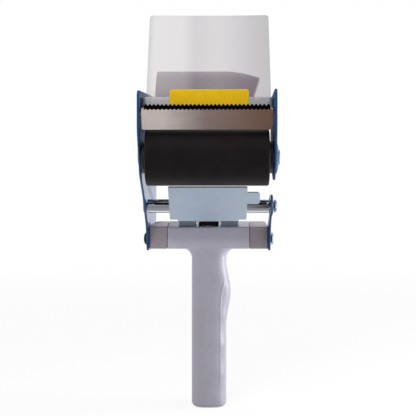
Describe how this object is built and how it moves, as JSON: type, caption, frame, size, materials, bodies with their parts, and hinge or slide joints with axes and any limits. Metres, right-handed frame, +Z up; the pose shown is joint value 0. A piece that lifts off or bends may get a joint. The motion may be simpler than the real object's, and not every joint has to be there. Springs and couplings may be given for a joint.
{
  "type": "packing tape dispenser",
  "caption": "Hand-held packing tape dispenser with side plates, braked roll hub, rubber roller, guide rod, sprung keeper, serrated cutter, clear flap and grip handle.",
  "frame": {"origin": "centre of the grip's flat end", "axes": "+X to the right as the cutter faces the viewer, +Y away from the viewer towards the roll hub's side, +Z up along the grip"},
  "size_m": [0.0974, 0.1534, 0.2738],
  "materials": {
    "blue_paint": "gloss",
    "zinc_plate": "satin",
    "bare_steel": "brushed",
    "chrome": "polished",
    "grey_plastic": "satin",
    "cap_plastic": "satin",
    "black_plastic": "matt",
    "black_rubber": "matt",
    "black_oxide": "satin",
    "clear_film": "hazy",
    "yellow_film": "satin",
    "fibre": "matt"
  },
  "bodies": {
    "frame": {"side_plate_left": "blue_paint", "cheek_plate_right": "blue_paint", "side_plate_right_lower": "blue_paint", "crossbar": "zinc_plate", "crossbar_rivet_left_front": "zinc_plate", "crossbar_rivet_left_rear": "zinc_plate", "crossbar_rivet_right_front": "zinc_plate", "crossbar_rivet_right_rear": "zinc_plate", "cutter_blade": "bare_steel", "plain_label": "yellow_film", "tape_flap": "clear_film", "flap_clamp": "zinc_plate", "flap_rivet_left": "zinc_plate", "flap_rivet_right": "zinc_plate", "roller_axle": "zinc_plate", "axle_spacer_left": "black_plastic", "axle_spacer_right": "black_plastic", "rod_axle": "bare_steel", "rod_cap_nut": "chrome", "keeper_pin": "bare_steel", "keeper_spring": "black_oxide", "handle": "grey_plastic", "end_cap_left": "cap_plastic", "end_cap_right": "cap_plastic", "tie_bolt": "black_oxide", "tie_cap_nut": "zinc_plate", "hub_bolt": "zinc_plate", "hub_lock_nut": "zinc_plate", "hub_spacer": "black_plastic", "friction_disc": "fibre", "pressure_washer": "zinc_plate", "brake_spring": "bare_steel"},
    "roller": {"roller_core": "black_plastic", "roller_sleeve": "black_rubber"},
    "guide_rod": {"one_way_rod": "chrome", "rod_clutch": "bare_steel", "rod_bush": "black_plastic"},
    "hub": {"hub_drum": "grey_plastic"},
    "keeper": {"keeper_plate": "zinc_plate"},
    "brake_adjuster": {"spring_washer": "zinc_plate"},
    "knob": {"brake_knob": "black_plastic"}
  },
  "joints": [
    {"name": "roller_spin", "type": "hinge", "parent": "frame", "child": "roller", "pos_m": [0, -0.07187, 0.17589], "axis": [1, 0, 0], "continuous": true},
    {"name": "rod_spin", "type": "hinge", "parent": "frame", "child": "guide_rod", "pos_m": [0, -0.0325, 0.14438], "axis": [1, 0, 0], "continuous": true},
    {"name": "hub_spin", "type": "hinge", "parent": "frame", "child": "hub", "pos_m": [0, 0.00962, 0.20635], "axis": [1, 0, 0], "continuous": true},
    {"name": "keeper_open", "type": "hinge", "parent": "frame", "child": "keeper", "pos_m": [0, -0.007, 0.1275], "axis": [1, 0, 0], "range_deg": [0, 25], "stiffness_Nm_per_rad": 0.05, "springref_deg": -20.05, "deforming": ["keeper_spring"]},
    {"name": "knob_travel", "type": "slide", "parent": "frame", "child": "brake_adjuster", "axis": [1, 0, 0], "range_m": [-0.0025, 0.00375], "deforming": ["brake_spring"]},
    {"name": "knob_turn", "type": "hinge", "parent": "brake_adjuster", "child": "knob", "pos_m": [0, 0.00962, 0.20635], "axis": [1, 0, 0], "range_deg": [-720, 1080]}
  ],
  "couplings": [
    {"joint": "knob_turn", "follows": "knob_travel", "rad_per_m": 5026.5}
  ]
}
